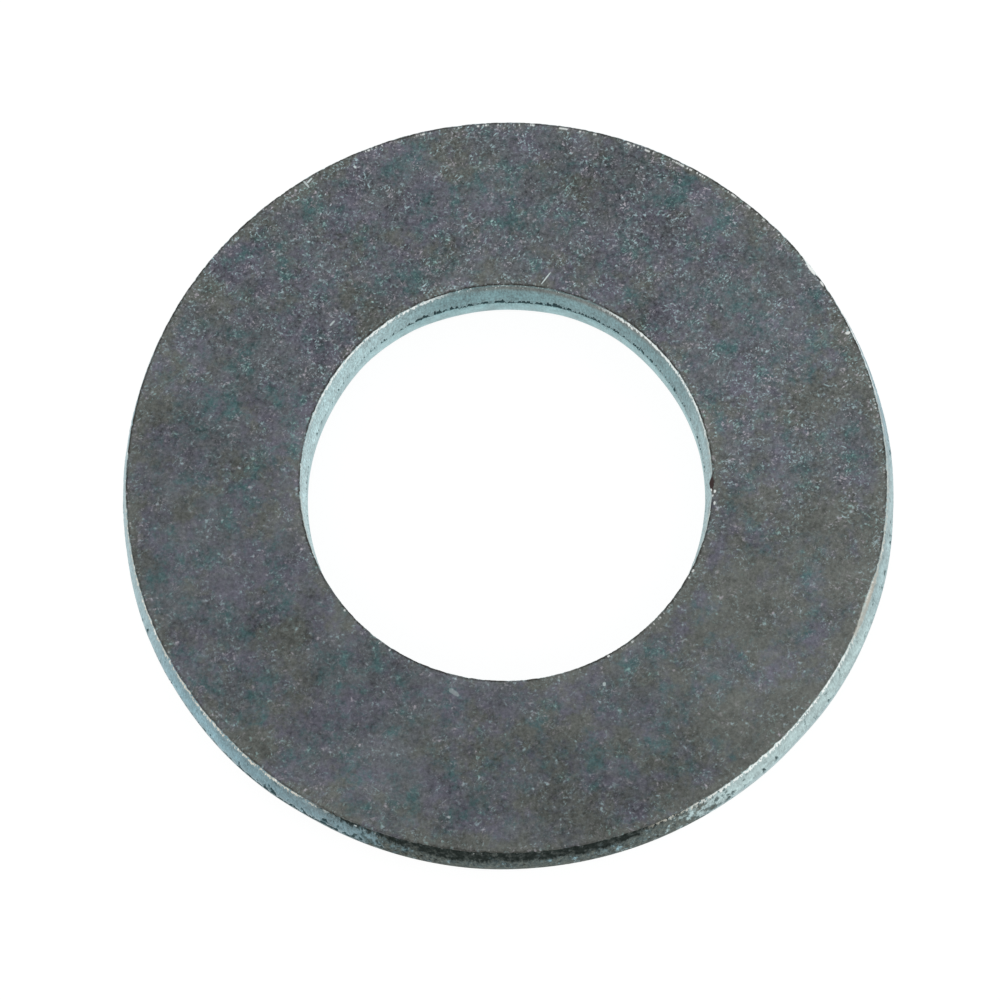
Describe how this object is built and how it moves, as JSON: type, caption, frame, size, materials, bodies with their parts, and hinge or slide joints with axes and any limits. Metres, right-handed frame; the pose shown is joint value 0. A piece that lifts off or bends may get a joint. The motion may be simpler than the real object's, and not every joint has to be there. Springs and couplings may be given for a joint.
{
  "type": "flat washer",
  "caption": "Flat round washer stamped from zinc-plated steel, for a clearance fit under the head or nut of a 10 mm bolt, with one rounded and one sharp-edged face.",
  "frame": {"origin": "on the bore's axis, at the lower face on which the washer lies", "axes": "+Z along the bore's axis, from the face with rounded edges to the face with sharp edges; the ring is round, so X and Y may point any way"},
  "size_m": [0.02, 0.02, 0.002],
  "materials": {
    "zinc_plate": "thin blue-passivated zinc plating over stamped steel, dull and finely pitted, brighter on the worn edges"
  },
  "bodies": {
    "root": {"washer": "zinc_plate"}
  },
  "joints": []
}
